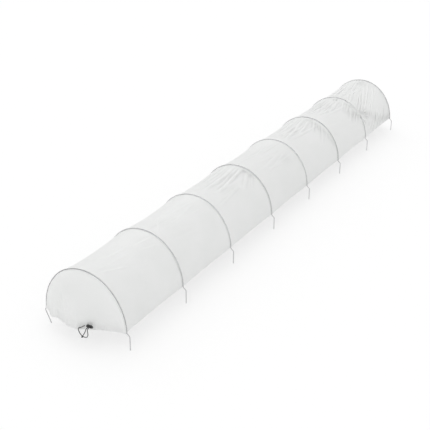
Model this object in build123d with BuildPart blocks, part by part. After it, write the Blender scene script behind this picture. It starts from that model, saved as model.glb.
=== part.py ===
from build123d import *
from math import cos, pi, radians, sin, tan
import os

# A low garden grow tunnel: eight galvanised wire hoops, each held in a welded sleeve on the
# outside of a milky polythene cover that sags a little between them. Each end is film drawn
# down and in over a cord, which a small black cord lock holds.
# Frame: +X across, +Y along the tunnel from front to back, +Z up. The origin is at mid-length,
# on the level of the leg tips.

# The tunnel's own sizes
LENGTH = 3000.0        # first hoop to last hoop
BAYS = 7
HALF_WIDTH = 208.0     # wire centre line, at the cover's hem
RISE = 231.0           # hem to wire centre line at the crown
SIDE_BEND = 45.0       # degrees that the hoop turns in each side bend, up to the crown bend
LEG_HEIGHT = 80.0      # leg tip to the cover's hem

# Hoop wire
WIRE_D = 4.0
CRANK_OUT = 14.0       # how far the leg steps outwards just below the hem
CRANK_HEIGHT = 12.0    # height over which it does
CRANK_BELOW_HEM = 3.0
CRANK_TOP_BEND = 2.7
CRANK_BEND = 8.0
TIP_CHAMFER = 0.8
PUSHED_IN = 24.5       # degrees that the front hoop's left leg is bent inwards at its crank

# Film
FILM = 1.0             # modelled thickness
SLEEVE_CLEARANCE = 0.3
WELD_CLEARANCE = 0.2
WELD_BAND = 10.0       # flange of a sleeve each side of its wire
CROWN_SAG = 12.0       # drop of the film at mid-bay, at the crown
HEM_PULL = 4.0         # how far the hem pulls in at mid-bay

# Gathered ends
END_DEPTH = 72.0       # how far the drawn-in end bulges past its hoop
END_SHAPE = [(0.0, 1.0), (0.3, 0.76), (0.6, 0.49), (0.85, 0.23), (1.0, 0.07)]   # depth, scale
HEM_BAND_DROP = 5.0    # the cord channel, below the hem line
HEM_BAND_HEIGHT = 34.0
HEM_BAND_PROUD = 1.0
HEM_BAND_SETBACK = 3.0

# Cord and cord lock
CORD_D = 3.5
CORD_PITCH = 4.4       # between the two strands in the lock
CORD_START_GAP = 0.9   # lets a square-cut end stand off the sloping channel
CORD_ARC_SHARE = 0.45  # of the shorter run, that the arc at a corner of a route takes up
LOCK_X = 70.0          # the lock's cord hole, across the tunnel
LOCK_HEIGHT = 22.0     # above the hem
LOCK_GAP = 1.0         # barrel to the cord channel
BARREL_D = 13.0
BARREL_LEFT = 13.0     # barrel's reach each side of its cord hole
BARREL_RIGHT = 10.0
BARREL_WALL = 1.7
BARREL_END_ROUND = 4.0
BARREL_LIP_ROUND = 0.8
HOLE_WIDTH = 8.8
HOLE_HEIGHT = 4.6
PLUNGER_CLEARANCE = 0.2
PLUNGER_HEAD = 7.0     # what shows of the plunger at rest
PLUNGER_HEAD_D = 10.5
PLUNGER_HEAD_ROUND = 3.0
SPRING_ROOM = 3.5
KNOT_D = 8.4
KNOT_LENGTH = 8.0
KNOT_ROUND = 2.4

BAY = LENGTH / BAYS
FRONT = -LENGTH / 2
FILM_OUT = -WIRE_D / 2 - SLEEVE_CLEARANCE    # the film's outer face, out from the wire's centre line


def arch(half, rise):
    """Three-centred arch on the hem line: two side bends and a crown bend, tangent to each other."""
    side_turn = radians(SIDE_BEND)
    difference = (rise - half) / (sin(side_turn) + cos(side_turn) - 1)    # of the two bends' radii
    crown_radius = rise - difference * sin(side_turn)
    side_radius = crown_radius + difference
    CenterArc((half - side_radius, LEG_HEIGHT), side_radius, 0, SIDE_BEND)
    CenterArc((0, LEG_HEIGHT + rise - crown_radius), crown_radius, SIDE_BEND, 180 - 2 * SIDE_BEND)
    CenterArc((side_radius - half, LEG_HEIGHT), side_radius, 180 - SIDE_BEND, SIDE_BEND)


def film_section(y, pull, sag):
    """The film's thin arched section at one station along the tunnel."""
    outer = (HALF_WIDTH + FILM_OUT - pull, RISE + FILM_OUT - sag)
    with BuildSketch(Plane.XZ.offset(-y)) as section:
        with BuildLine():
            arch(*outer)
            arch(*[size - FILM for size in outer])
            for side in (-1, 1):
                Line((side * outer[0], LEG_HEIGHT), (side * (outer[0] - FILM), LEG_HEIGHT))
        make_face()
    return section.sketch.face()


def save(node, name):
    node.part.label = name
    export_step(node.part, f"parts/{name}.step")


os.makedirs("parts", exist_ok=True)
hoop_stations = [FRONT + i * BAY for i in range(BAYS + 1)]

# Hoops: one length of wire each, bent to the arch, cranked outwards below the hem to stop the
# cover sliding down, with a straight leg that is pushed into the soil. The front hoop's left leg
# has been pushed in as it stood.
crank_top = LEG_HEIGHT - CRANK_BELOW_HEM


def leg(side, pushed_in):
    """The wire from the hem down to the leg's tip, turned inwards at the crank by some degrees."""
    turn = radians(pushed_in)
    points = [(side * HALF_WIDTH, LEG_HEIGHT), (side * HALF_WIDTH, crank_top)]
    for down in (CRANK_HEIGHT, crank_top):
        out = CRANK_OUT * cos(turn) - down * sin(turn)
        drop = down * cos(turn) + CRANK_OUT * sin(turn)
        points.append((side * (HALF_WIDTH + out), crank_top - drop))
    FilletPolyline(*points, radius=[CRANK_TOP_BEND, CRANK_BEND])


for number, y in enumerate(hoop_stations, start=1):
    with BuildPart() as hoop:
        with BuildLine(Plane.XZ.offset(-y)) as wire_line:
            arch(HALF_WIDTH, RISE)
            leg(-1, PUSHED_IN if number == 1 else 0)
            leg(1, 0)
        with BuildSketch(Plane(origin=(HALF_WIDTH + CRANK_OUT, y, 0), z_dir=(0, 0, 1))):
            Circle(WIRE_D / 2)
        sweep(path=wire_line.wires()[0])
        chamfer(hoop.faces().filter_by(GeomType.PLANE).edges(), TIP_CHAMFER)
    save(hoop, f"hoop_{number}")

# Sleeves: a strip of film welded to the cover each side of its wire, over the arch only. The
# two end sleeves have no weld on their outer side, where the end film turns away.
channel = WIRE_D / 2 + SLEEVE_CLEARANCE
weld_face = FILM_OUT + WELD_CLEARANCE
for number, y in enumerate(hoop_stations, start=1):
    reach_front = channel + FILM if number == 1 else WELD_BAND
    reach_back = channel + FILM if number == len(hoop_stations) else WELD_BAND
    with BuildPart() as sleeve:
        with BuildLine(Plane.XZ.offset(-y)) as arch_line:
            arch(HALF_WIDTH, RISE)
        with BuildSketch(Plane(origin=(HALF_WIDTH, y, LEG_HEIGHT), x_dir=(0, -1, 0), z_dir=(0, 0, 1))):
            with Locations((0, weld_face + FILM / 2)):
                with Locations(((reach_front - reach_back) / 2, 0)):
                    Rectangle(reach_front + reach_back, FILM)
            Circle(channel + FILM)
            with Locations((0, weld_face)):
                Rectangle(2 * WELD_BAND, channel + FILM, align=(Align.CENTER, Align.MAX), mode=Mode.SUBTRACT)
            Circle(channel, mode=Mode.SUBTRACT)
            with Locations((0, weld_face)):
                Rectangle(2 * channel, -weld_face, align=(Align.CENTER, Align.MIN), mode=Mode.SUBTRACT)
        sweep(path=arch_line.wires()[0])
    save(sleeve, f"sleeve_{number}")

# Cover: one panel of film to each bay, flat under the sleeve welds and sagging between them.
for number in range(1, BAYS + 1):
    y_front = hoop_stations[number - 1]
    y_back = hoop_stations[number]
    with BuildPart() as bay:
        loft(
            [
                film_section(y_front + WELD_BAND, 0, 0),
                film_section((y_front + y_back) / 2, HEM_PULL, CROWN_SAG),
                film_section(y_back - WELD_BAND, 0, 0),
            ]
        )
        extrude(film_section(y_front, 0, 0), amount=-WELD_BAND)
        extrude(film_section(y_back - WELD_BAND, 0, 0), amount=-WELD_BAND)
    save(bay, f"cover_bay_{number}")


def end_body(shift):
    """The closed shape inside a drawn-in front end, moved along the tunnel by the given amount."""
    with BuildPart() as body:
        for depth, scale in END_SHAPE:
            outer = [scale * (size + FILM_OUT) for size in (HALF_WIDTH, RISE)]
            foot = LEG_HEIGHT - HEM_BAND_DROP
            with BuildSketch(Plane.XZ.offset(-(FRONT - depth * END_DEPTH + shift))):
                with BuildLine():
                    arch(*outer)
                    Polyline(
                        (outer[0], LEG_HEIGHT), (outer[0], foot), (-outer[0], foot), (-outer[0], LEG_HEIGHT)
                    )
                make_face()
        loft()
    return body.part


# Ends: film drawn down and in from the end hoop, with a cord channel along its lower edge.
# The back end is the front end turned half round.
with BuildPart() as end_shell:
    add(end_body(0))
    add(end_body(FILM), mode=Mode.SUBTRACT)
    split(bisect_by=Plane.XZ.offset(-FRONT), keep=Keep.TOP)

with BuildPart() as band_zone:
    with BuildSketch(Plane.XY.offset(LEG_HEIGHT - HEM_BAND_DROP)):
        with Locations((0, FRONT - HEM_BAND_SETBACK)):
            Rectangle(2 * HALF_WIDTH, 2 * END_DEPTH, align=(Align.CENTER, Align.MAX))
    extrude(amount=HEM_BAND_HEIGHT)

with BuildPart() as end_panel:
    add(end_shell.part)
    split(bisect_by=Plane.XY.offset(LEG_HEIGHT), keep=Keep.TOP)
    add(band_zone.part, mode=Mode.SUBTRACT)

with BuildPart() as end_hem:
    add(end_body(-HEM_BAND_PROUD))
    add(end_body(FILM), mode=Mode.SUBTRACT)
    add(band_zone.part, mode=Mode.INTERSECT)

def cord_radii(points):
    """The largest arc at each corner of a cord's route that its two runs allow."""
    radii = []
    for before, corner, after in zip(points, points[1:], points[2:]):
        run_in = Vector(corner) - Vector(before)
        run_out = Vector(after) - Vector(corner)
        turn = run_in.get_angle(run_out)
        radii.append(CORD_ARC_SHARE * min(run_in.length, run_out.length) / tan(radians(turn) / 2))
    return radii


# Cord and cord lock at the front end, from the point on the hem line below the end hoop's crown:
# x across, y outwards negative, z above the hem. The slack strand runs from the channel through
# the lock, hangs in a loop and goes back into the channel. The tail ends in a knot.
def at_front(points):
    return [(x, FRONT + y, LEG_HEIGHT + z) for x, y, z in points]


def channel_face_y(x, height):
    """Where the cord channel's outer face stands, at a place across the tunnel and above the hem."""
    z = LEG_HEIGHT + height
    crossing = end_hem.part.intersect(Edge.make_line((x, FRONT - 2 * END_DEPTH, z), (x, FRONT, z)))
    return min(edge.bounding_box().min.Y for edge in crossing.edges()) - FRONT


lock_y = channel_face_y(LOCK_X - BARREL_LEFT, LOCK_HEIGHT) - LOCK_GAP - BARREL_D / 2
loop_x = LOCK_X + CORD_PITCH / 2
tail_x = LOCK_X - CORD_PITCH / 2
drawcord_points = at_front([
    (loop_x, channel_face_y(loop_x, LOCK_HEIGHT) - CORD_START_GAP, LOCK_HEIGHT),
    (loop_x, lock_y - 19, LOCK_HEIGHT),
    (76, lock_y - 21, -2),
    (66, lock_y - 15, -21),
    (48, lock_y - 12, -30),
    (31, lock_y - 12, -22),
    (23, lock_y - 13, -4),
    (25, lock_y - 16, 14),
    (46, lock_y - 18, 21),
    (50, channel_face_y(50, 21) - CORD_START_GAP, 21),
])
tail_points = at_front([
    (tail_x, channel_face_y(tail_x, LOCK_HEIGHT) - CORD_START_GAP, LOCK_HEIGHT),
    (tail_x, lock_y - 17, LOCK_HEIGHT),
    (60, lock_y - 22, 5),
    (51, lock_y - 22.5, -6),
    (44, lock_y - 22, -14),
])


def cord_tube(points):
    with BuildPart() as tube:
        with BuildLine() as route:
            FilletPolyline(*points, radius=cord_radii(points))
        with BuildSketch(Plane(origin=points[0], z_dir=Vector(points[1]) - Vector(points[0]))):
            Circle(CORD_D / 2)
        sweep(path=route.wires()[0])
    length = route.wires()[0].length
    section = pi * CORD_D**2 / 4
    print("cord length", round(length), "volume over section times length", tube.part.volume / section / length)
    print("cord radii", [round(radius, 1) for radius in cord_radii(points)])
    return tube


drawcord = cord_tube(drawcord_points)
cord_tail = cord_tube(tail_points)

tail_way = Vector(tail_points[-1]) - Vector(tail_points[-2])
with BuildPart() as tail_knot:
    with BuildSketch(Plane(origin=tail_points[-1], z_dir=tail_way)):
        Circle(KNOT_D / 2)
    extrude(amount=KNOT_LENGTH)
    fillet(tail_knot.edges().filter_by(GeomType.CIRCLE), KNOT_ROUND)

# Cord lock: a moulded barrel closed at its left end, and the sprung plunger that goes into it,
# with one slot through both for the two strands.
lock_axis_y = FRONT + lock_y
lock_axis_z = LEG_HEIGHT + LOCK_HEIGHT
barrel_mouth = LOCK_X + BARREL_RIGHT
bore_floor = LOCK_X - BARREL_LEFT + BARREL_WALL
bore_radius = BARREL_D / 2 - BARREL_WALL


def across_at(x):
    """The plane across the lock's axis at one place along it."""
    return Plane(origin=(x, lock_axis_y, lock_axis_z), x_dir=(0, 1, 0), z_dir=(1, 0, 0))


with BuildPart() as cord_slot:
    with BuildSketch(Plane(origin=(LOCK_X, lock_axis_y, lock_axis_z), x_dir=(1, 0, 0), z_dir=(0, -1, 0))):
        SlotOverall(HOLE_WIDTH, HOLE_HEIGHT)
    extrude(amount=BARREL_D, both=True)

with BuildPart() as lock_barrel:
    with BuildSketch(across_at(LOCK_X - BARREL_LEFT)):
        Circle(BARREL_D / 2)
    extrude(amount=BARREL_LEFT + BARREL_RIGHT)
    fillet(lock_barrel.edges().group_by(Axis.X)[0], BARREL_END_ROUND)
    fillet(lock_barrel.edges().group_by(Axis.X)[-1], BARREL_LIP_ROUND)
    with BuildSketch(across_at(bore_floor)):
        Circle(bore_radius)
    extrude(amount=BARREL_LEFT + BARREL_RIGHT, mode=Mode.SUBTRACT)
    add(cord_slot.part, mode=Mode.SUBTRACT)

with BuildPart() as lock_plunger:
    with BuildSketch(across_at(bore_floor + SPRING_ROOM)):
        Circle(bore_radius - PLUNGER_CLEARANCE)
    extrude(amount=barrel_mouth - bore_floor - SPRING_ROOM + PLUNGER_CLEARANCE)
    with BuildSketch(across_at(barrel_mouth + PLUNGER_CLEARANCE)):
        Circle(PLUNGER_HEAD_D / 2)
    extrude(amount=PLUNGER_HEAD)
    fillet(lock_plunger.edges().group_by(Axis.X)[-1], PLUNGER_HEAD_ROUND)
    add(cord_slot.part, mode=Mode.SUBTRACT)

front_pieces = {
    "end_panel": end_panel,
    "end_hem": end_hem,
    "drawcord": drawcord,
    "cord_tail": cord_tail,
    "tail_knot": tail_knot,
    "lock_barrel": lock_barrel,
    "lock_plunger": lock_plunger,
}
for name, piece in front_pieces.items():
    save(piece, f"front_{name}")
    with BuildPart() as turned:
        add(piece.part, rotation=(0, 0, 180))
    save(turned, f"back_{name}")
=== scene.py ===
from math import cos, pi, radians, sin
from random import Random

import bpy
import numpy as np
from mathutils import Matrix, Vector, noise


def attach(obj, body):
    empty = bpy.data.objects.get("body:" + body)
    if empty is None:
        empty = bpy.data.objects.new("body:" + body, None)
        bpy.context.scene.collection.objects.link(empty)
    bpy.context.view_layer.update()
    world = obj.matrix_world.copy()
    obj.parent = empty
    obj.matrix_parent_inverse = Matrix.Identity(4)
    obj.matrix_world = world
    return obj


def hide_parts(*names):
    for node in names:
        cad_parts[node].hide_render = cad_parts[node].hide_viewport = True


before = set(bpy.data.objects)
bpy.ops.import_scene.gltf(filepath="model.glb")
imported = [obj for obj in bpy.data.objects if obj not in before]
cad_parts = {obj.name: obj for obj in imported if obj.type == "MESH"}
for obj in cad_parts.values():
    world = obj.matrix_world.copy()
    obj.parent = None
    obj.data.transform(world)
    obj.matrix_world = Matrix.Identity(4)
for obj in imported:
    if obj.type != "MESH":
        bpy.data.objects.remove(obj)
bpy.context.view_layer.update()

# Camera: above the near right corner of the tunnel and looking along it, from far enough away
# that a long lens takes in the tunnel from end to end.
VIEW_AZIMUTH = radians(30.27)
VIEW_ELEVATION = radians(25.495)
VIEW_DISTANCE = 4.6594
VIEW_TARGET = Vector((-0.0467, -0.3581, 0.0753))
VIEW_LENS = 75.74
to_camera = Vector((
    sin(VIEW_AZIMUTH) * cos(VIEW_ELEVATION),
    -cos(VIEW_AZIMUTH) * cos(VIEW_ELEVATION),
    sin(VIEW_ELEVATION),
))
bpy.ops.object.camera_add(location=VIEW_TARGET + to_camera * VIEW_DISTANCE)
camera = bpy.context.object
camera.rotation_mode = "QUATERNION"
camera.rotation_quaternion = (-to_camera).to_track_quat("-Z", "Y")
camera.data.sensor_width = 36
camera.data.lens = VIEW_LENS
bpy.context.scene.camera = camera


# Drawcords: a braided cord of man-made fibre at each end of the cover. A slack loop hangs out of
# the cord lock and goes back into the channel, and the cut tail ends in an overhand knot.
class Shade:
    """One output of a shader node. Arithmetic on it adds Math nodes."""

    def __init__(self, tree, output=None):
        self.tree = tree
        self.output = output

    def node(self, kind, settings, inputs, output=0):
        """Any node: its type, its settings, then the values or links of its sockets."""
        made = self.tree.nodes.new("ShaderNode" + kind)
        for name, value in settings.items():
            if name == "stops":
                set_stops(made.color_ramp, value)
            else:
                setattr(made, name, value)
        for name, value in inputs.items():
            if isinstance(value, Shade):
                self.tree.links.new(value.output, made.inputs[name])
            else:
                made.inputs[name].default_value = value
        return Shade(self.tree, made.outputs[output] if made.outputs else None)

    def math(self, operation, first, second):
        return self.node("Math", {"operation": operation}, {0: first, 1: second})

    def __add__(self, other):
        return self.math("ADD", self, other)

    def __sub__(self, other):
        return self.math("SUBTRACT", self, other)

    def __mul__(self, other):
        return self.math("MULTIPLY", self, other)

    def __rsub__(self, other):
        return self.math("SUBTRACT", other, self)

    __radd__ = __add__
    __rmul__ = __mul__

    def mix(self, way, share, first, second):
        """Two colours mixed. Sockets 6 and 7 take the colours, and 2 gives the result."""
        colours = {0: share, 6: first, 7: second}
        return self.node("Mix", {"data_type": "RGBA", "blend_type": way}, colours, 2)

    def blend(self, low, high):
        """A colour between two, by this value."""
        return self.mix("MIX", self, low, high)

    def ramp(self, *stops):
        """This value through a ramp of (place, grey level) stops."""
        return self.node("ValToRGB", {"stops": stops}, {0: self})


def set_stops(ramp, stops):
    while len(ramp.elements) < len(stops):
        ramp.elements.new(1)
    for element, (place, level) in zip(ramp.elements, stops):
        element.position = place
        element.color = (level, level, level, 1)


def new_material(name):
    """An empty material, and the Shade that its nodes are made from."""
    material = bpy.data.materials.new(name)
    material.use_nodes = True
    material.node_tree.nodes.clear()
    return material, Shade(material.node_tree)


def give(piece, material):
    piece.data.materials.clear()
    piece.data.materials.append(material)


def flat_grid(name, across, along):
    """A flat grid, and how far each of its vertices is across and along it, from 0 to 1."""
    bpy.ops.object.select_all(action="DESELECT")
    bpy.ops.mesh.primitive_grid_add(x_subdivisions=across, y_subdivisions=along, size=1)
    piece = bpy.context.object
    piece.name = name
    flat = np.empty(len(piece.data.vertices) * 3)
    piece.data.vertices.foreach_get("co", flat)
    flat = flat.reshape(-1, 3) + 0.5
    return piece, flat[:, 0], flat[:, 1]


def put_vertices(piece, points):
    piece.data.vertices.foreach_set("co", points.ravel())
    piece.data.update()


def stretch_uv(piece, width, length):
    """Makes the piece's UV map read in metres."""
    layer = piece.data.uv_layers.active
    places = np.empty(len(layer.data) * 2)
    layer.data.foreach_get("uv", places)
    places = places.reshape(-1, 2) * (width, length)
    layer.data.foreach_set("uv", places.ravel())


CORD_D = 0.0035
BRAID_STRANDS = 8          # lumps round the cord
BRAID_PITCH = 0.0052
BRAID_DEPTH = 0.00028
CORD_SIDES = 32
CORD_STEP = 0.0006
CORD_SEAM = 0.000012       # the braid's seam is closed between points this close
KNOT_SCALE = 0.00125
KNOT_CORD_D = 0.0029       # the cord is squeezed where it is knotted
KNOT_STEPS = 14
drawcord_route = [
    (0.0722, -1.5540, 0.1020),
    (0.0722, -1.5844, 0.1020),
    (0.0795, -1.5874, 0.0785),
    (0.0690, -1.5814, 0.0580),
    (0.0480, -1.5774, 0.0500),
    (0.0310, -1.5774, 0.0580),
    (0.0230, -1.5784, 0.0760),
    (0.0255, -1.5814, 0.0900),
    (0.0370, -1.5834, 0.0950),
    (0.0430, -1.5611, 0.0950),
]
tail_route = [
    (0.0678, -1.5554, 0.1020),
    (0.0678, -1.5824, 0.1020),
    (0.0640, -1.5884, 0.0840),
    (0.0570, -1.5889, 0.0720),
    (0.0510, -1.5879, 0.0630),
]


def smooth_line(points):
    """The points down the smooth line whose control points these are."""
    curve = bpy.data.curves.new("route", "CURVE")
    curve.dimensions = "3D"
    curve.resolution_u = 24
    spline = curve.splines.new("NURBS")
    spline.points.add(len(points) - 1)
    for point, place in zip(spline.points, points):
        point.co = (*place, 1)
    spline.order_u = 3
    spline.use_endpoint_u = True
    holder = bpy.data.objects.new("route", curve)
    mesh = bpy.data.meshes.new_from_object(holder)
    line = np.array([vertex.co for vertex in mesh.vertices], float)
    bpy.data.meshes.remove(mesh)
    bpy.data.curves.remove(curve)
    return line


def even_steps(line, step):
    """The line again, with its points evenly spaced, and how long it is."""
    lengths = np.linalg.norm(np.diff(line, axis=0), axis=1)
    along = np.concatenate([[0], np.cumsum(lengths)])
    places = np.linspace(0, along[-1], int(along[-1] / step) + 2)
    spaced = np.stack([np.interp(places, along, line[:, axis]) for axis in range(3)], axis=1)
    return spaced, along[-1]


def sides_of(line):
    """Two square directions beside the line at each of its points, which don't twist round it."""
    ahead = np.gradient(line, axis=0)
    ahead /= np.linalg.norm(ahead, axis=1)[:, None]
    side = [np.array(Vector(ahead[0]).orthogonal().normalized())]
    for way in ahead[1:]:
        turned = side[-1] - way * np.dot(side[-1], way)
        side.append(turned / np.linalg.norm(turned))
    return np.array(side), np.cross(ahead, side)


def braided_tube(name, points, diameter):
    """A round braid along a route, closed at both ends, and the line that it follows."""
    line, length = even_steps(smooth_line(points), CORD_STEP)
    side, over = sides_of(line)
    last = len(line) - 1
    tube, turn, reach = flat_grid(name, CORD_SIDES, last)
    ring = np.rint(reach * last).astype(int)
    angle = -2 * pi * turn
    along = 2 * pi * reach * length / BRAID_PITCH
    one_way = np.cos((BRAID_STRANDS * angle + along) / 2)
    other_way = np.cos((BRAID_STRANDS * angle - along) / 2)
    radius = diameter / 2 - BRAID_DEPTH * (1 - np.abs(one_way * other_way))
    put_vertices(tube, line[ring] + radius[:, None] * (
        np.cos(angle)[:, None] * side[ring] + np.sin(angle)[:, None] * over[ring]
    ))
    stretch_uv(tube, 1, length)
    bpy.ops.object.mode_set(mode="EDIT")
    bpy.ops.mesh.select_all(action="SELECT")
    bpy.ops.mesh.remove_doubles(threshold=CORD_SEAM)
    bpy.ops.mesh.select_all(action="DESELECT")
    bpy.ops.mesh.select_non_manifold()
    bpy.ops.mesh.fill()
    bpy.ops.mesh.select_all(action="SELECT")
    bpy.ops.mesh.normals_make_consistent(inside=False)
    bpy.ops.object.mode_set(mode="OBJECT")
    bpy.ops.object.shade_smooth()
    return tube, line


def cord_material():
    """Near-black braided fibre, a little worn and dusty on top of its strands."""
    material, shade = new_material("braided_cord")
    place = shade.node("TexCoord", {}, {}, "Object")
    dust = shade.node("TexNoise", {}, {"Vector": place, "Scale": 260, "Detail": 3})
    thread = shade.node("TexNoise", {}, {"Vector": place, "Scale": 2600, "Detail": 2})
    clean = (0.014, 0.014, 0.016, 1)
    dusty = (0.042, 0.041, 0.040, 1)
    colour = dust.ramp((0.35, 0), (0.75, 1)).blend(clean, dusty)
    bump = shade.node("Bump", {}, {"Height": thread, "Strength": 0.5, "Distance": 0.0002})
    fibre = shade.node("BsdfPrincipled", {}, {
        "Base Color": colour, "Roughness": 0.62 + 0.2 * thread, "Normal": bump,
        "Sheen Weight": 0.3, "Sheen Roughness": 0.4,
    })
    shade.node("OutputMaterial", {}, {"Surface": fibre})
    return material


def other_end(points, turn):
    """The points as they lie at the front end, or turned half round for the back end."""
    return [(turn * x, turn * y, z) for x, y, z in points]


def knot_points(tail_end, way):
    """An overhand knot that goes on from the tail: in, round a trefoil, and out to the cut end."""
    way = way.normalized()
    beside = way.cross(Vector((0, 1, 0))).normalized()
    outwards = way.cross(beside)
    centre = tail_end + way * 4 * KNOT_SCALE
    flat = [(-4.6, -1.4, 0), (-2.6, -2.4, 0)]
    for step in range(1, KNOT_STEPS):
        turn = pi + 2 * pi * step / KNOT_STEPS
        x = sin(turn) + 2 * sin(2 * turn)
        y = cos(turn) - 2 * cos(2 * turn)
        flat.append((x, y, -1.2 * sin(3 * turn)))
    flat += [(2.6, -2.4, 0), (4.6, -1.6, 0.2), (6.2, -1.2, 0.3)]
    return [
        tuple(centre + KNOT_SCALE * (x * way + (y + 1) * beside + z * outwards)) for x, y, z in flat
    ]


braid = cord_material()
for end, turn in (("front", 1), ("back", -1)):
    loop_points = other_end(drawcord_route, turn)
    tail_points = other_end(tail_route, turn)
    loop, loop_line = braided_tube(f"{end}_drawcord_braid", loop_points, CORD_D)
    tail, tail_line = braided_tube(f"{end}_tail_braid", tail_points, CORD_D)
    tail_way = Vector(tail_points[-1]) - Vector(tail_points[-2])
    knot, _ = braided_tube(
        f"{end}_knot_braid", knot_points(Vector(tail_points[-1]), tail_way), KNOT_CORD_D
    )
    for piece, node in ((loop, "drawcord"), (tail, "cord_tail"), (knot, "tail_knot")):
        give(piece, braid)
        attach(piece, "root")
        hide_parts(f"{end}_{node}")


# Cord locks: a barrel and a sprung plunger, moulded in black plastic with a fine spark-eroded
# grain. They keep their own solids.
def moulded_material():
    """Black moulded plastic, greyed in smears where it is handled."""
    material, shade = new_material("moulded_black_plastic")
    place = shade.node("TexCoord", {}, {}, "Object")
    grain = shade.node("TexNoise", {}, {"Vector": place, "Scale": 3800, "Detail": 2})
    smear = shade.node("TexNoise", {}, {"Vector": place, "Scale": 140, "Detail": 4})
    black = (0.010, 0.010, 0.011, 1)
    greyed = (0.022, 0.022, 0.023, 1)
    colour = smear.ramp((0.4, 0), (0.7, 1)).blend(black, greyed)
    bump = shade.node("Bump", {}, {"Height": grain, "Strength": 0.25, "Distance": 0.0001})
    plastic = shade.node("BsdfPrincipled", {}, {
        "Base Color": colour, "Roughness": 0.36 + 0.16 * smear, "Normal": bump,
    })
    shade.node("OutputMaterial", {}, {"Surface": plastic})
    return material


moulded = moulded_material()
for end in ("front", "back"):
    for piece in ("lock_barrel", "lock_plunger"):
        give(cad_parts[f"{end}_{piece}"], moulded)


# Hoops: hard-drawn steel wire, hot-dip galvanised, bent to the arch and left bare. The zinc is dull,
# with a faint spangle. Above the hem each hoop has its own grey, and on most hoops that grey is
# painted lighter than the legs to offset the shade inside the sleeve. They keep their own solids.
BAYS = 7
BARE_LEG_ZINC = 0.54         # grey level of the legs, below the hem
ZINC_SPREAD = 0.08         # the spangle, either side of a grey level
# grey of each hoop above the hem; most are painted lighter than the legs to offset the shade inside
# the sleeves
zinc_tone = {1: 0.43, 2: 0.64, 3: 0.68, 4: 0.62, 5: 0.70, 6: 0.60, 7: 0.66, 8: 0.62}


def zinc_greys(tone):
    """The dullest and the brightest zinc about a grey level."""
    levels = (tone - ZINC_SPREAD, tone + ZINC_SPREAD)
    return [(level, 1.005 * level, 1.015 * level, 1) for level in levels]


def galvanised_material(number, tone):
    """Dull zinc: its own grey on the bare legs up to the hem, and above the hem the grey given for
    this hoop, which on most hoops is painted lighter to offset the shade inside the sleeve.
    """
    material, shade = new_material(f"galvanised_wire_{number}")
    place = shade.node("TexCoord", {}, {}, "Object")
    spangle = shade.node("TexVoronoi", {}, {"Vector": place, "Scale": 420}, "Color")
    patch = shade.node("TexNoise", {}, {"Vector": place, "Scale": 60, "Detail": 4})
    dull = patch.ramp((0.35, 0), (0.7, 1))
    shine = spangle * 0.35 + dull * 0.65
    bare_leg_grey = shine.blend(*zinc_greys(BARE_LEG_ZINC))
    covered = shine.blend(*zinc_greys(tone))
    decimetres = shade.node("SeparateXYZ", {}, {0: place}, "Z") * 10
    # the legs' own grey below the hem, and above it the hoop's grey with its painted lightening
    colour = decimetres.ramp((0.78, 0), (0.86, 1)).blend(bare_leg_grey, covered)
    bump = shade.node("Bump", {}, {"Height": patch, "Strength": 0.3, "Distance": 0.0002})
    zinc = shade.node("BsdfPrincipled", {}, {
        "Base Color": colour, "Metallic": 1.0, "Roughness": 0.36 + 0.2 * dull, "Normal": bump,
    })
    shade.node("OutputMaterial", {}, {"Surface": zinc})
    return material


for number, tone in zinc_tone.items():
    give(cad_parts[f"hoop_{number}"], galvanised_material(number, tone))


# Cover: milky polythene film, one panel to a bay, welded flat at each hoop and slack between.
# It keeps the creases that it was packed with, and pulls into folds where the hoops hold it.
LENGTH = 3.0
HALF_WIDTH = 0.2057        # outer face of the film at a hoop
RISE = 0.2287
HEM_HEIGHT = 0.080
SIDE_BEND = radians(45)
BAY = LENGTH / BAYS
FILM = 0.0003
FILM_MILK = 0.94
MILKY = (FILM_MILK, FILM_MILK, FILM_MILK, 1)
WELD_BAND = 0.010
CROWN_SAG = 0.012
HEM_PULL = 0.004
COVER_GRID = (220, 84)
LOOSE_GRID = (300, 150)    # the last bay has many small folds


def arch_radii(half, rise):
    """The radius of the arch's crown, and of its sides."""
    difference = (rise - half) / (sin(SIDE_BEND) + cos(SIDE_BEND) - 1)
    crown_radius = rise - difference * sin(SIDE_BEND)
    return crown_radius, crown_radius + difference


def arch_reach(half, rise):
    """From the crown to the hem, round the arch."""
    return sum(arch_radii(half, rise)) * SIDE_BEND


def arch_place(reach, half, rise):
    """Where a distance round from the crown is, and which way is out: x, z above the hem, x and z."""
    crown_radius, side_radius = arch_radii(half, rise)
    bend_end = crown_radius * SIDE_BEND
    far = np.abs(reach)
    on_side = far > bend_end
    turn = np.where(on_side, SIDE_BEND + (far - bend_end) / side_radius, far / crown_radius)
    radius = np.where(on_side, side_radius, crown_radius)
    x = np.where(on_side, half - side_radius, 0) + radius * np.sin(turn)
    z = np.where(on_side, 0, rise - crown_radius) + radius * np.cos(turn)
    sign = np.sign(reach)
    return sign * x, z, sign * np.sin(turn), np.cos(turn)


def ridge_shape(aside, valley):
    """A soft ridge of height 1, with a valley on each side, by half widths from its middle."""
    return np.exp(-aside ** 2) - 0.5 * np.exp(-(np.abs(aside) - valley) ** 2)


def fold(reach, along, start, stop, width):
    """A ridge between two places on the film, which fades at both ends."""
    run = (stop[0] - start[0], stop[1] - start[1])
    long = (run[0] ** 2 + run[1] ** 2) ** 0.5
    run = (run[0] / long, run[1] / long)
    ahead = ((reach - start[0]) * run[0] + (along - start[1]) * run[1]) / long
    aside = (reach - start[0]) * run[1] - (along - start[1]) * run[0]
    return np.sin(pi * np.clip(ahead, 0, 1)) ** 0.7 * ridge_shape(aside / width, 1.7)


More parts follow.
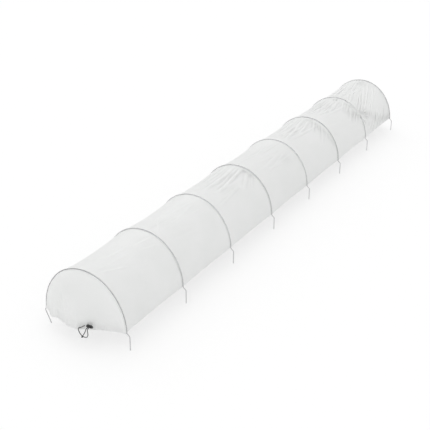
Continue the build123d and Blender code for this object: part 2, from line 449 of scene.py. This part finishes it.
def crumple(reach, along, seed, size, stretch):
    """Unevenness with sharp creases, about 1 high and deep, and longer along than across."""
    finer = 2.3
    return np.array([
        1 - 2.6 * abs(noise.noise(Vector((r / size, a / size / stretch, seed))))
        + 0.5 * noise.noise(Vector((r / size * finer, a / size * finer / stretch, seed + 40)))
        for r, a in zip(reach, along)
    ])


# The folds of each bay: from and to, as distance round from the crown (right is more) and
# distance along from the bay's front hoop, then height and half width.
bay_folds = {
    1: [
        ((0.000, 0.140), (0.026, 0.275), 0.0036, 0.0062),
        ((0.036, 0.300), (0.064, 0.418), 0.0030, 0.0046),
        ((0.074, 0.295), (0.108, 0.405), 0.0024, 0.0044),
        ((0.050, 0.012), (0.102, 0.180), 0.0028, 0.0050),
        ((-0.030, 0.050), (-0.010, 0.150), 0.0014, 0.0060),
    ],
    2: [
        ((-0.030, 0.170), (0.070, 0.022), 0.0024, 0.0045),
        ((-0.010, 0.140), (0.030, 0.405), 0.0020, 0.0050),
        ((0.020, 0.100), (0.048, 0.250), 0.0016, 0.0040),
        ((0.060, 0.240), (0.090, 0.400), 0.0016, 0.0045),
    ],
    3: [
        ((0.035, 0.422), (0.062, 0.110), 0.0026, 0.0065),
        ((0.012, 0.416), (0.036, 0.150), 0.0014, 0.0050),
        ((-0.010, 0.414), (0.004, 0.080), 0.0026, 0.0075),
        ((0.068, 0.412), (0.126, 0.290), 0.0016, 0.0070),
        ((0.104, 0.408), (0.150, 0.340), 0.0014, 0.0042),
        ((-0.050, 0.412), (-0.055, 0.180), 0.0024, 0.0070),
    ],
    4: [
        ((-0.030, 0.050), (0.010, 0.330), 0.0014, 0.0060),
        ((0.006, 0.200), (0.030, 0.412), 0.0014, 0.0050),
        ((0.050, 0.120), (0.075, 0.300), 0.0008, 0.0060),
    ],
    5: [
        ((-0.016, 0.400), (0.040, 0.050), 0.0034, 0.0070),
        ((0.022, 0.414), (0.056, 0.190), 0.0026, 0.0050),
        ((0.050, 0.412), (0.098, 0.300), 0.0034, 0.0056),
        ((0.084, 0.408), (0.128, 0.340), 0.0024, 0.0044),
        ((0.104, 0.412), (0.182, 0.300), 0.0020, 0.0065),
        ((0.150, 0.400), (0.196, 0.356), 0.0022, 0.0042),
        ((-0.060, 0.412), (-0.050, 0.150), 0.0028, 0.0080),
    ],
    6: [
        ((-0.040, 0.040), (-0.010, 0.300), 0.0026, 0.0070),
        ((-0.006, 0.418), (0.016, 0.366), 0.0044, 0.0042),
        ((0.024, 0.412), (0.046, 0.200), 0.0028, 0.0065),
        ((0.056, 0.404), (0.090, 0.300), 0.0022, 0.0044),
        ((0.088, 0.416), (0.116, 0.330), 0.0034, 0.0050),
        ((0.112, 0.398), (0.180, 0.290), 0.0018, 0.0080),
        ((0.146, 0.416), (0.176, 0.360), 0.0040, 0.0048),
        ((0.172, 0.402), (0.214, 0.350), 0.0024, 0.0060),
    ],
    7: [],
}

# The last bay hangs looser: long pleats run down and forward from its back hoop, they gather on
# the right shoulder of its front hoop, and short ones go on from there to the hem.
LONG_PLEATS = 64
HEM_PLEATS = 12
HEM_PLEAT_HEIGHT = 0.0030
GATHERS = 12
GATHER_PLACE = (0.184, 0.034)
SHOULDER = 0.136           # past this distance round, the long pleats slant ever more to the side
drape = Random(7)
for _ in range(LONG_PLEATS):
    top = drape.uniform(-0.15, 0.29)
    slant = 0.30 + 2.2 * max(top, -0.10) + 80 * max(top - SHOULDER, 0) ** 2
    back = drape.uniform(0.22, 0.418)
    long = min(drape.uniform(0.10, 0.40) / (1 + 0.6 * slant), back - 0.012)
    foot = (top + slant * long, back - long)
    height = drape.uniform(0.0007, 0.0021)
    bay_folds[7].append(((top, back), foot, height, drape.uniform(0.0032, 0.0075)))
for step in range(HEM_PLEATS):
    back = 0.10 + 0.026 * step + drape.uniform(-0.008, 0.008)
    top = 0.248 + drape.uniform(-0.02, 0.02)
    long = drape.uniform(0.05, 0.085)
    foot = (top + long, back - long)
    bay_folds[7].append(((top, back), foot, HEM_PLEAT_HEIGHT, drape.uniform(0.004, 0.006)))
for step in range(GATHERS):
    turn = radians(-25 + 13 * step)
    long = drape.uniform(0.035, 0.075)
    middle = (GATHER_PLACE[0] + 0.03 * cos(turn), GATHER_PLACE[1] + 0.022 * sin(turn))
    stop = (middle[0] + long * cos(turn), middle[1] + long * abs(sin(turn)))
    height = drape.uniform(0.0024, 0.0044)
    bay_folds[7].append((middle, stop, height, drape.uniform(0.004, 0.006)))

# Painted shade where the film lies bunched and doubled: the middle of each patch, its half sizes,
# round the arch and along, and how dark it is painted. Below 0 it is painted lighter instead.
painted_shading_patches = {
    1: [],
    2: [((0.018, 0.090), (0.005, 0.050), 0.25)],
    3: [
        ((0.058, 0.402), (0.020, 0.014), 1.05), ((0.100, 0.404), (0.018, 0.016), 0.95),
        ((0.047, 0.350), (0.009, 0.045), 0.70), ((0.020, 0.300), (0.010, 0.070), 0.55),
    ],
    4: [((0.135, 0.330), (0.028, 0.034), 0.25)],
    5: [
        ((0.012, 0.398), (0.030, 0.012), 0.60), ((0.066, 0.386), (0.028, 0.018), 0.60),
        ((0.114, 0.380), (0.022, 0.020), 0.65), ((0.168, 0.396), (0.045, 0.014), 0.45),
        ((0.226, 0.406), (0.030, 0.010), 0.40),
    ],
    6: [
        ((0.006, 0.396), (0.010, 0.012), 1.20), ((0.150, 0.352), (0.028, 0.034), 0.70),
        ((0.174, 0.400), (0.024, 0.018), 0.90), ((-0.050, 0.300), (0.030, 0.100), 0.40),
        ((0.100, 0.400), (0.034, 0.014), 0.55), ((0.108, 0.315), (0.018, 0.020), 0.30),
    ],
    7: [
        ((0.176, 0.020), (0.030, 0.030), 0.85), ((0.194, 0.075), (0.026, 0.040), 0.75),
        ((0.216, 0.135), (0.026, 0.044), 0.65), ((0.256, 0.200), (0.024, 0.048), 0.70),
        ((0.288, 0.290), (0.022, 0.055), 0.75), ((0.318, 0.385), (0.020, 0.050), 0.95),
        ((0.010, 0.370), (0.040, 0.045), 0.50), ((0.140, 0.250), (0.090, 0.110), -0.80),
    ],
}

# Every bay also has fine creases along it. They are sharper from the fifth bay on, and the first two
# bays are drawn tighter than the rest, with folds half as high and no painted shade in their valleys.
lengthwise_count = {1: 3, 2: 4, 3: 8, 4: 7, 5: 18, 6: 24, 7: 20}
LOOSE_FROM = 5
TIGHT_UP_TO = 2
# whitening of a crease, partly the film's own and partly a painted highlight
CREASE_FULL = 0.003        # a crease this high is as white as it gets
CREASE_HEIGHT = 0.0011     # of the crumpled film between the folds
CREASE_SIZE = 0.055
MOTTLE_SIZE = 0.016
CROWN_REACH = 0.17         # the crumpling is strong within this distance of the crown


def lengthwise_folds(number):
    """The fine creases that run along a bay, over its crown and down its left side."""
    spare = Random(number)
    loose = number >= LOOSE_FROM
    folds = []
    for _ in range(lengthwise_count[number]):
        middle = spare.uniform(-0.15, 0.07 if loose else 0.15)
        drift = spare.uniform(-0.02, 0.02)
        start = (middle - drift, spare.uniform(0.015, 0.18))
        stop = (middle + drift, spare.uniform(0.25, 0.414))
        height = spare.uniform(0.0008, 0.0020) if loose else spare.uniform(0.0004, 0.0011)
        folds.append((start, stop, height, spare.uniform(0.0034, 0.0065)))
    return folds


def mark(piece, name, values):
    """Writes a value at each vertex, for the material to read."""
    marks = piece.data.attributes.new(name, "FLOAT", "POINT")
    marks.data.foreach_set("value", values.astype(np.float32))


def cover_bay(number):
    """One bay of film, from hoop to hoop, marked from painted shade (-1) to whitening (1), which is
    partly crease whitening and partly painted light.
    """
    grid = LOOSE_GRID if number == BAYS else COVER_GRID
    bay, across, length_share = flat_grid(f"cover_film_{number}", *grid)
    front = -LENGTH / 2 + (number - 1) * BAY
    along = length_share * BAY
    slack = np.clip((along - WELD_BAND) / (BAY - 2 * WELD_BAND), 0, 1)
    sag = 1 - (2 * slack - 1) ** 2
    free = np.clip(4 * sag, 0, 1)
    half = HALF_WIDTH - FILM / 2 - HEM_PULL * sag
    rise = RISE - FILM / 2 - CROWN_SAG * sag
    reach = (2 * across - 1) * arch_reach(half, rise)
    x, z, out_x, out_z = arch_place(reach, half, rise)
    lift = np.zeros(len(reach))
    wear = np.zeros(len(reach))
    tight = number <= TIGHT_UP_TO
    for start, stop, height, width in bay_folds[number] + lengthwise_folds(number):
        ridge = fold(reach, along, start, stop, width)
        lift += (0.5 if tight else 1) * height * ridge
        # whiter on the ridge, partly crease whitening and partly painted highlight; painted shade in
        # the valleys beside it, except in the tight bays
        wear += min(height / CREASE_FULL, 1) * np.maximum(ridge, 0 if tight else -1)
    on_top = np.exp(-(reach / CROWN_REACH) ** 4)
    creases = crumple(reach, along, 3.7 * number, CREASE_SIZE, 2.4)
    lift = free * (lift + CREASE_HEIGHT * creases * (0.25 + 0.75 * on_top))
    points = [x + out_x * lift, front + along, HEM_HEIGHT + z + out_z * lift]
    put_vertices(bay, np.stack(points, axis=1))
    # mottles the painted shade and painted light of the patches below
    mottle = 0.75 + 0.35 * crumple(reach, along, 9.1 * number, MOTTLE_SIZE, 1.3)
    # painted shade where the film is bunched, and painted light where a patch is below 0
    for middle, size, dull in painted_shading_patches[number]:
        near = ((reach - middle[0]) / size[0]) ** 2 + ((along - middle[1]) / size[1]) ** 2
        wear -= dull * np.exp(-near) * mottle
    mark(bay, "wear", np.clip(wear, -1, 1))
    return bay


def select_only(piece):
    bpy.ops.object.select_all(action="DESELECT")
    bpy.context.view_layer.objects.active = piece
    piece.select_set(True)


def give_thickness(piece, thickness):
    """Turns a surface into thin film with its outer face where the surface was."""
    select_only(piece)
    wall = piece.modifiers.new("film", "SOLIDIFY")
    wall.thickness = thickness
    wall.offset = -1
    bpy.ops.object.modifier_apply(modifier="film")
    bpy.ops.object.shade_smooth_by_angle(angle=radians(50))


def polythene(shade, grey):
    """The film's own look: milky, half shiny, with fine crinkles. It lets some light through."""
    place = shade.node("TexCoord", {}, {}, "Object")
    cloud = shade.node("TexNoise", {}, {"Vector": place, "Scale": 9, "Detail": 4})
    long_way = shade.node("Mapping", {}, {"Vector": place, "Scale": (1, 0.3, 1)})
    crinkle = shade.node("TexNoise", {}, {
        "Vector": long_way, "Scale": 60, "Detail": 5, "Roughness": 0.6,
    })
    greenish = (0.965, 0.975, 0.965, 1)
    white = (0.995, 1, 0.995, 1)
    tint = cloud.ramp((0.3, 0), (0.7, 1)).blend(greenish, white)
    bump = shade.node("Bump", {}, {"Height": crinkle, "Strength": 0.35, "Distance": 0.002})
    skin = shade.node("BsdfPrincipled", {}, {
        "Base Color": shade.mix("MULTIPLY", 1, grey, tint), "Roughness": 0.30 + 0.2 * crinkle,
        "Normal": bump, "IOR": 1.5,
    })
    through = shade.node("BsdfTranslucent", {}, {"Color": MILKY, "Normal": bump})
    return shade.node("MixShader", {}, {0: 0.25, 1: skin, 2: through})


def cover_material():
    """The cover's film: whiter along its creases, partly crease whitening and partly painted
    highlight, painted darker as shade in their valleys and where it is bunched, and painted lighter
    in places.
    """
    material, shade = new_material("milky_polythene_film")
    wear = shade.node("Attribute", {"attribute_name": "wear"}, {}, "Fac") * 0.5 + 0.5
    # down to 0.74 of the milk for painted shade, up to 1.05 for crease whitening and painted light
    grey = wear.ramp((0, 0.74 * FILM_MILK), (0.5, FILM_MILK), (1, 1.05 * FILM_MILK))
    shade.node("OutputMaterial", {}, {"Surface": polythene(shade, grey)})
    return material


cover_milk = cover_material()
bay_width = 2 * arch_reach(HALF_WIDTH, RISE)
for number in range(1, BAYS + 1):
    bay = cover_bay(number)
    stretch_uv(bay, bay_width, BAY)
    give_thickness(bay, FILM)
    give(bay, cover_milk)
    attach(bay, "root")
    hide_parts(f"cover_bay_{number}")


# Sleeves: a strip of the same film over each hoop, welded to the cover along both edges, so
# that the wire slides in from the hem. The end sleeves have one weld each.
WIRE_RADIUS = 0.002
WIRE_HALF_WIDTH = 0.208
WIRE_RISE = 0.231
STRIP_FILM = 0.0002
STRIP_WIDTH = 0.026
END_STRIP_WIDTH = 0.020
END_STRIP_REACH = 0.0035   # past the wire, at the outer edges of the end sleeves
NARROW_WELD = 0.0006       # on those edges
SLEEVE_SLACK = 0.0003
SLEEVE_LIFT = 0.0005       # the welded edges, above the cover's outer face
WELD_INNER_EDGE = 0.0042   # from the wire's middle to where the strip comes down on the cover
SLACK_RIPPLE = 0.00012
WELD_RIPPLE = 0.0007
RIPPLES_PER_METRE = 55
SLEEVE_ACROSS = 24
SLEEVE_ALONG = 130


def sleeve_profile(across, reach_front, reach_back, slack, foot):
    """The strip's section at a share of its width: along the tunnel, and out from the wire."""
    wrapped = 5 / 12       # share of each half of the strip that lies on the wire
    landed = 8 / 12        # and that has come down to the cover
    radius = WIRE_RADIUS + slack
    foot_out = HALF_WIDTH - WIRE_HALF_WIDTH + SLEEVE_LIFT
    aside = np.abs(2 * across - 1)
    reach = np.where(across < 0.5, reach_front, reach_back)
    foot = np.minimum(foot, reach - NARROW_WELD)
    leaves = np.arctan2(foot, foot_out) - np.arccos(radius / np.hypot(foot, foot_out))
    turn = leaves * np.clip(aside / wrapped, 0, 1)
    down = np.clip((aside - wrapped) / (landed - wrapped), 0, 1)
    flat = np.clip((aside - landed) / (1 - landed), 0, 1)
    y = radius * np.sin(turn) * (1 - down) + foot * down + (reach - foot) * flat
    out = radius * np.cos(turn) * (1 - down) + foot_out * down
    return np.sign(across - 0.5) * y, out


# How clear each sleeve is at places round from the crown.
sleeve_clearness = {
    1: [(0, 0.97)],
    2: [(-0.06, 0.95), (0.02, 0.985)],
    3: [(-0.06, 0.95), (0.02, 0.992)],
    4: [(-0.04, 0.90), (0.04, 0.95)],
    5: [(-0.06, 0.95), (0.02, 0.992)],
    6: [(0, 0.94)],
    7: [(0.05, 0.985), (0.09, 0.10), (0.18, 0.10), (0.22, 0.985)],
    8: [(-0.06, 0.20), (-0.02, 0.90), (0.10, 0.90), (0.14, 0.985), (0.25, 0.985), (0.28, 0.90)],
}


def sleeve(number):
    """One sleeve, from hem to hem, marked with how clear it is."""
    strip, across, along = flat_grid(f"sleeve_film_{number}", SLEEVE_ACROSS, SLEEVE_ALONG)
    station = -LENGTH / 2 + (number - 1) * BAY
    reach_front = END_STRIP_REACH if number == 1 else WELD_BAND
    reach_back = END_STRIP_REACH if number == BAYS + 1 else WELD_BAND
    reach = (2 * along - 1) * arch_reach(WIRE_HALF_WIDTH, WIRE_RISE)
    ripple = np.array([noise.noise(Vector((r * RIPPLES_PER_METRE, number * 5.1, 0))) for r in reach])
    slack = SLEEVE_SLACK + SLACK_RIPPLE * (1 + ripple)
    foot = WELD_INNER_EDGE + WELD_RIPPLE * ripple
    y, out = sleeve_profile(across, reach_front, reach_back, slack, foot)
    x, z, out_x, out_z = arch_place(reach, WIRE_HALF_WIDTH, WIRE_RISE)
    points = [x + out_x * out, station + y, HEM_HEIGHT + z + out_z * out]
    put_vertices(strip, np.stack(points, axis=1))
    places, levels = zip(*sleeve_clearness[number])
    mark(strip, "clearness", np.interp(reach, places, levels))
    return strip


def turn_faces_over(piece):
    select_only(piece)
    bpy.ops.object.mode_set(mode="EDIT")
    bpy.ops.mesh.select_all(action="SELECT")
    bpy.ops.mesh.flip_normals()
    bpy.ops.object.mode_set(mode="OBJECT")


def sleeve_material():
    """The same film, clear where it clings to the wire and milky where it stands off it."""
    material, shade = new_material("sleeve_film")
    clearness = shade.node("Attribute", {"attribute_name": "clearness"}, {}, "Fac")
    clear = shade.node("BsdfTransparent", {}, {"Color": (1, 1, 1, 1)})
    film = polythene(shade, MILKY)
    strip = shade.node("MixShader", {}, {0: clearness, 1: film, 2: clear})
    shade.node("OutputMaterial", {}, {"Surface": strip})
    return material


sleeve_film = sleeve_material()
strip_length = 2 * arch_reach(WIRE_HALF_WIDTH, WIRE_RISE)
for number in range(1, BAYS + 2):
    strip = sleeve(number)
    strip_width = END_STRIP_WIDTH if number in (1, BAYS + 1) else STRIP_WIDTH
    turn_faces_over(strip)
    stretch_uv(strip, strip_width, strip_length)
    give_thickness(strip, STRIP_FILM)
    give(strip, sleeve_film)
    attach(strip, "root")
    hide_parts(f"sleeve_{number}")


# Ends: past each end hoop the film is drawn down and in by its cord, and closes on a curved foot
# in front of the hoop. The front end is pulled nearly smooth, and the back end is pleated.
END_DEPTH = 0.072
END_ACROSS = 200
END_DOWN = 80
FOOT_DROP = 0.005          # the foot, below the hem line
FOOT_MIDDLE = 0.010        # where the front end's foot is deepest, to the right
CORNER_OUT = 0.004         # the left corner of the foot, past the hem
CORNER_WIDTH = 0.02
# The front foot's bulge and hollow on the left: place, half width and depth.
foot_waves = [(-0.145, 0.022, 0.013), (-0.090, 0.030, -0.004)]
FOOT_SLOPE = 0.02          # the film faces upwards by this much more than its foot's depth gives
DRAWN_LOW = 1.15           # over 1, the film is drawn in more near its foot than near its hoop
BELLY = 0.16               # how far the film stands out, as a share of its height
BELLY_LOW = 0.35           # and how much of that is lost towards the foot
TIGHT_FROM = 0.07          # left of here the film is drawn tighter,
TIGHT_OVER = 0.10          # and tightest this much further left
PLEATS_FULL = 0.05         # the pleats fade where the end is lower than this
# the end film is painted lighter below this height, against the shade near its foot
LIGHTENED_BELOW = 0.16
CRINKLE_PLACE = (-0.060, 0.160)
CRINKLE_REACH = (0.050, 0.045)
CRINKLE_SIZE = 0.011
CRINKLE_HEIGHT = 0.0005
pleat_count = {"front": 34, "back": 44}
pleat_seed = {"front": 21, "back": 34}


def foot_depth(x, end):
    """How far past its hoop the foot of an end lies, at a place across the tunnel."""
    left = 1 - np.clip(np.abs(x) / HALF_WIDTH, 0, 1) ** 1.6
    if end == "back":
        return END_DEPTH * left
    right = (1 - np.clip((x - FOOT_MIDDLE) / (HALF_WIDTH - FOOT_MIDDLE), 0, 1)) ** 1.5
    waves = sum(depth * np.exp(-((x - place) / width) ** 2) for place, width, depth in foot_waves)
    return np.where(x < 0, END_DEPTH * left + waves, END_DEPTH * right)


def foot_line(share, end):
    """Where a share of the way along the foot is, from its left end to its right end."""
    x = np.linspace(-HALF_WIDTH, HALF_WIDTH, 2 * END_ACROSS)
    depth = foot_depth(x, end)
    along = np.concatenate([[0], np.cumsum(np.hypot(np.diff(x), np.diff(depth)))])
    at = np.interp(share * along[-1], along, x)
    corner = CORNER_OUT * np.exp(-((at + HALF_WIDTH) / CORNER_WIDTH) ** 2)
    return at - corner, foot_depth(at, end)


def make_pleats(end):
    """The gathered pleats of an end: middle, half width, height, reach up from the foot, and lean."""
    draw = Random(pleat_seed[end])
    pleats = []
    for step in range(pleat_count[end]):
        middle = (step + 0.5 + draw.uniform(-0.4, 0.4)) / pleat_count[end]
        width = draw.uniform(0.006, 0.012)
        if end == "front":
            strong = 1.0 if middle < 0.42 else 0.35
            height = strong * draw.uniform(0.0008, 0.0032)
            reach = draw.uniform(0.2, 0.7) * (0.4 + 0.6 * strong)
            lean = draw.uniform(-0.04, 0.04)
        else:
            height = draw.uniform(0.0015, 0.0045)
            reach = draw.uniform(0.5, 1.0)
            lean = draw.uniform(-0.02, 0.02)
        pleats.append((middle, width, height, reach, lean))
    return pleats


def pleat_lift(across, down, pleats):
    """Height of the gathered pleats, which start at the foot and fade towards the hoop."""
    lift = np.zeros(len(across))
    for middle, width, height, reach, lean in pleats:
        fade = np.clip((down - 1 + reach) / reach, 0, 1) ** 0.8
        widened = width * (0.8 + 0.5 * (1 - down))
        lift += height * fade * ridge_shape((across - middle - lean * (1 - down)) / widened, 1.6)
    return lift


def end_crinkles(x, z):
    """Small creases left of the middle of an end, where the film was bunched in its pack."""
    aside = (x - CRINKLE_PLACE[0]) / CRINKLE_REACH[0]
    above = (z - CRINKLE_PLACE[1]) / CRINKLE_REACH[1]
    near = np.exp(-aside ** 2 - above ** 2)
    return near * np.clip(crumple(x, z, 5.5, CRINKLE_SIZE, 1.6), 0, 1)


def end_surface(across, down, end, pleats):
    """A point of an end's film: a share of the way round the hoop, and down from it to the foot."""
    half = HALF_WIDTH - FILM
    rise = RISE - FILM
    x, z, out_x, _ = arch_place((2 * across - 1) * arch_reach(half, rise), half, rise)
    foot_x, depth = foot_line(across, end)
    drop = z + FOOT_DROP
    slack = 1 - 0.8 * np.clip((-x - TIGHT_FROM) / TIGHT_OVER, 0, 1)
    ease = down ** DRAWN_LOW
    px = x + (foot_x - x) * ease
    pz = HEM_HEIGHT + z - drop * ease
    lift = BELLY * slack * drop * np.sin(pi * down) * (1 - BELLY_LOW * down)
    lift += pleat_lift(across, down, pleats) * np.clip(drop / PLEATS_FULL, 0, 1)
    lift += CRINKLE_HEIGHT * end_crinkles(px, pz)
    lean = np.arctan2(depth + FOOT_SLOPE, drop)
    return np.stack([
        px + out_x * lift * 0.5 * slack,
        -(LENGTH / 2 + WIRE_RADIUS + depth * ease + np.cos(lean) * lift),
        pz + np.sin(lean) * lift * 0.6,
    ], axis=1)


def end_creases_and_painted_shading(piece, turn):
    """Painted light on an end: lighter towards the foot, against the shade there, and on the left,
    where the softbox lights it; whiter on its creases, partly crease whitening and partly painted
    highlight.
    """
    points = np.empty(len(piece.data.vertices) * 3)
    piece.data.vertices.foreach_get("co", points)
    points = points.reshape(-1, 3)
    x = turn * points[:, 0]
    z = points[:, 2]
    # painted light towards the foot, against the shade there
    low = np.clip(1 - z / LIGHTENED_BELOW, 0, 1)
    # painted light on the left, the side that the softbox lights
    left = np.clip(-x / HALF_WIDTH - 0.2, 0, 1)
    return np.clip(1.2 * low + 1.6 * left + 1.5 * end_crinkles(x, z), -1, 1)


# Each end's lower edge is turned up as a channel, which rolls round the cord at the foot.
HEM_BAND = 0.030
HEM_DOWN = 34
HEM_FLAT = 0.86            # share of the channel above its roll
HEM_CLEAR = 0.0004         # the channel, in front of the end's film
ROLL_RADIUS = 0.0024
ROLL_TURN = 1.7 * pi


def hem_surface(across, down, end, pleats):
    """A point of the channel: a share of the way round the hoop, and down to its rolled edge."""
    reach = (2 * across - 1) * arch_reach(HALF_WIDTH, RISE)
    height = arch_place(reach, HALF_WIDTH, RISE)[1] + FOOT_DROP
    share = np.clip(HEM_BAND / np.maximum(height, 0.001), 0, 1)
    low = np.clip(down / HEM_FLAT, 0, 1)
    points = end_surface(across, 1 - share * (1 - low), end, pleats)
    curl = ROLL_TURN * np.clip((down - HEM_FLAT) / (1 - HEM_FLAT), 0, 1)
    points[:, 1] -= HEM_CLEAR * (1 + low) + ROLL_RADIUS * np.sin(curl)
    points[:, 2] += ROLL_RADIUS * (1 - np.cos(curl))
    return points


for end, turn, hoop in (("front", 1, "hoop_1"), ("back", -1, "hoop_8")):
    pleats = make_pleats(end)
    for name, node, down_steps, surface, flat, area in (
        ("end_film", "end_panel", END_DOWN, end_surface, (0.42, 0.25), 0.088),
        ("hem_film", "end_hem", HEM_DOWN, hem_surface, (0.50, 0.046), 0.020),
    ):
        piece, across, down = flat_grid(f"{end}_{name}", END_ACROSS, down_steps)
        put_vertices(piece, surface(across, down, end, pleats) * (turn, turn, 1))
        # painted light and shade on the end film and its channel, with the whitening of its creases
        mark(piece, "wear", end_creases_and_painted_shading(piece, turn))
        turn_faces_over(piece)
        give_thickness(piece, FILM)
        give(piece, cover_milk)
        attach(piece, "root")
        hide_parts(f"{end}_{node}")


# Floor: a plain white studio floor with the tunnel's soft shadow on it. It glows a little to the
# camera, and in the wires and through the film, so that it looks white without lighting them.
FLOOR_SIZE = 60
FLOOR_GLOW = 0.68


def in_sight(shade):
    """1 for what is seen, straight on or in metal or film, and 0 for what only gives light."""
    seen = shade.node("LightPath", {}, {}, "Is Camera Ray")
    mirrored = shade.node("LightPath", {}, {}, "Is Glossy Ray")
    through = shade.node("LightPath", {}, {}, "Is Transmission Ray")
    return shade.math("MAXIMUM", seen, shade.math("MAXIMUM", mirrored, through))


bpy.ops.mesh.primitive_plane_add(size=FLOOR_SIZE)
floor = bpy.context.object
floor.name = "studio_floor"
material, shade = new_material("studio_floor")
paper = shade.node("BsdfDiffuse", {}, {"Color": (0.97, 0.97, 0.97, 1)})
glow = shade.node("Emission", {}, {"Color": (1, 1, 1, 1), "Strength": 1.0})
mixed = shade.node("MixShader", {}, {0: FLOOR_GLOW * in_sight(shade), 1: paper, 2: glow})
shade.node("OutputMaterial", {}, {"Surface": mixed})
give(floor, material)


# Light: a pale room, a broad softbox high behind on the left, and a low fill from the near right.
# The room looks white to the camera and lights the tunnel a little less than white would.
ROOM = 0.90
for name, strength, width, way in (
    ("softbox", 0.45, 50, (0.80, -0.45, -1)),
    ("fill", 0.30, 90, (-0.50, 0.80, -0.35)),
):
    bpy.ops.object.light_add(type="SUN")
    lamp = bpy.context.object
    lamp.name = name
    lamp.data.energy = strength
    lamp.data.angle = radians(width)
    lamp.rotation_mode = "QUATERNION"
    lamp.rotation_quaternion = Vector(way).to_track_quat("-Z", "Y")
world = bpy.data.worlds.new("studio")
bpy.context.scene.world = world
world.use_nodes = True
world.node_tree.nodes.clear()
shade = Shade(world.node_tree)
brightness = ROOM + (1 - ROOM) * in_sight(shade)
sky = shade.node("Background", {}, {"Color": (1, 1, 1, 1), "Strength": brightness})
shade.node("OutputWorld", {}, {"Surface": sky})
bpy.context.scene.view_settings.view_transform = "Standard"
